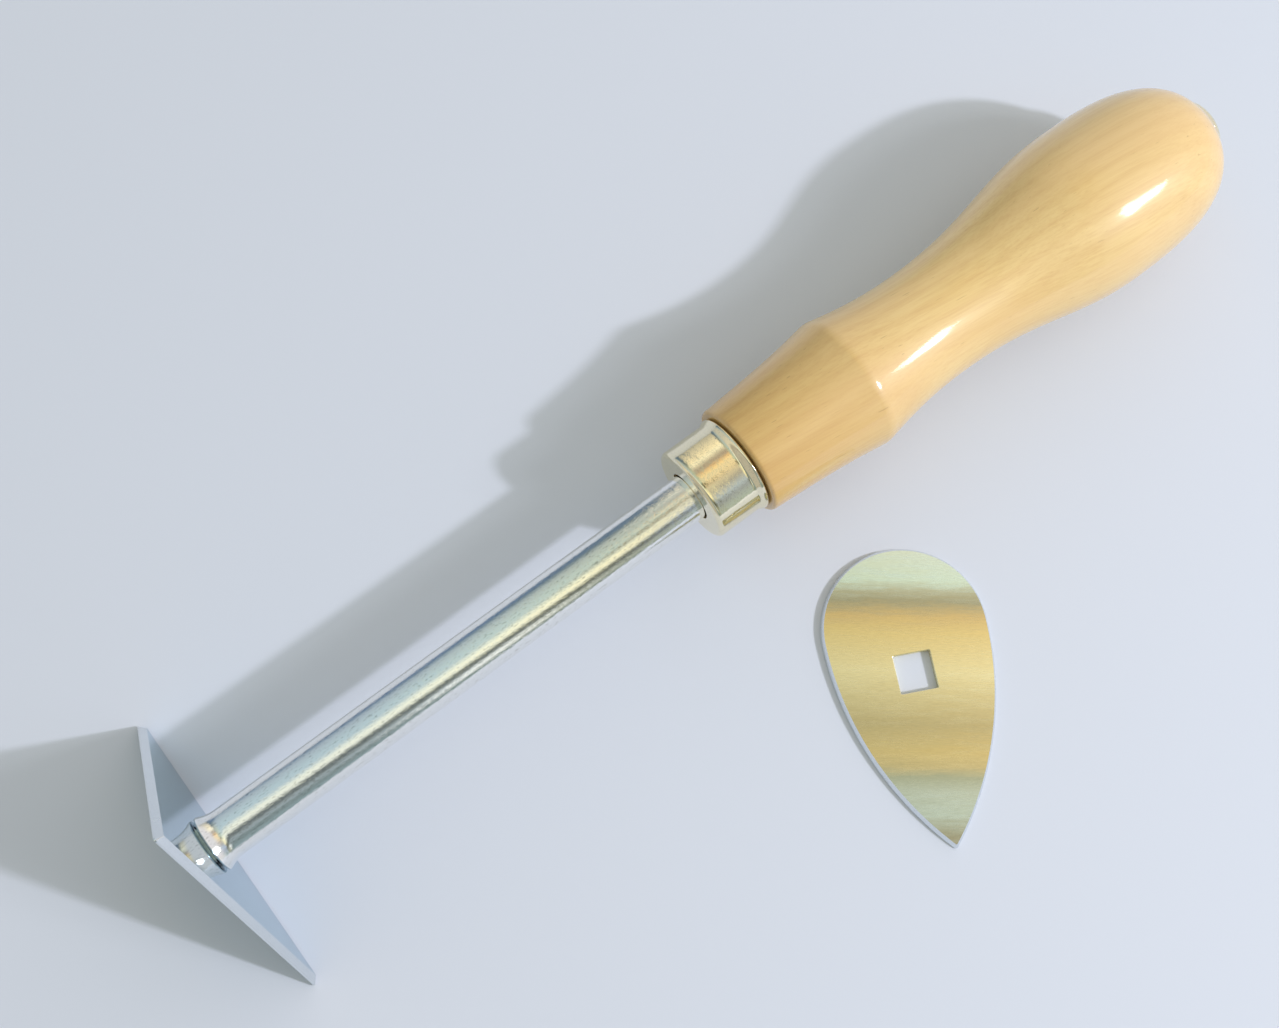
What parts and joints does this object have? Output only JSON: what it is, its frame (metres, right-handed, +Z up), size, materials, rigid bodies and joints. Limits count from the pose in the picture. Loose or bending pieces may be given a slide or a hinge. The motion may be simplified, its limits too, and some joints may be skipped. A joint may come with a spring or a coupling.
{
  "type": "molding scraper",
  "caption": "Pull scraper with a turned wood handle, plated shank and a bevelled triangular blade clamped by a screw, and a loose teardrop blade beside it.",
  "frame": {"origin": "middle of the straight lower edge on which the fitted blade stands, on the plane that the tool lies on", "axes": "+X along the shank from the fitted blade to the handle's butt, +Z up from the plane that the tool lies on, +Y away from the loose blade"},
  "size_m": [0.2611, 0.119, 0.0545],
  "materials": {
    "blade_steel": "satin, ground bright at the bevels",
    "screw_steel": "zinc plated",
    "plated_steel": "bright plated",
    "lacquered_wood": "clear gloss lacquer over pale hardwood"
  },
  "bodies": {
    "handle_and_shank": {"shank": "plated_steel", "ferrule": "plated_steel", "handle": "lacquered_wood", "butt_nut": "plated_steel"},
    "fitted_blade": {"triangular_blade": "blade_steel", "blade_washer": "screw_steel"},
    "clamp_screw": {"blade_screw": "screw_steel"},
    "loose_blade": {"teardrop_blade": "blade_steel"}
  },
  "joints": [
    {"name": "blade_release", "type": "slide", "parent": "handle_and_shank", "child": "fitted_blade", "axis": [-1, 0, 0], "range_m": [0, 0.012]},
    {"name": "screw_turn", "type": "hinge", "parent": "fitted_blade", "child": "clamp_screw", "pos_m": [0, 0, 0.01833], "axis": [-1, 0, 0], "range_deg": [0, 5400]},
    {"name": "loose_blade_lift", "type": "slide", "parent": "handle_and_shank", "child": "loose_blade", "axis": [0, 0, 1], "range_m": [0, 0.05]}
  ],
  "couplings": [
    {"joint": "screw_turn", "follows": "blade_release", "rad_per_m": 7854}
  ]
}
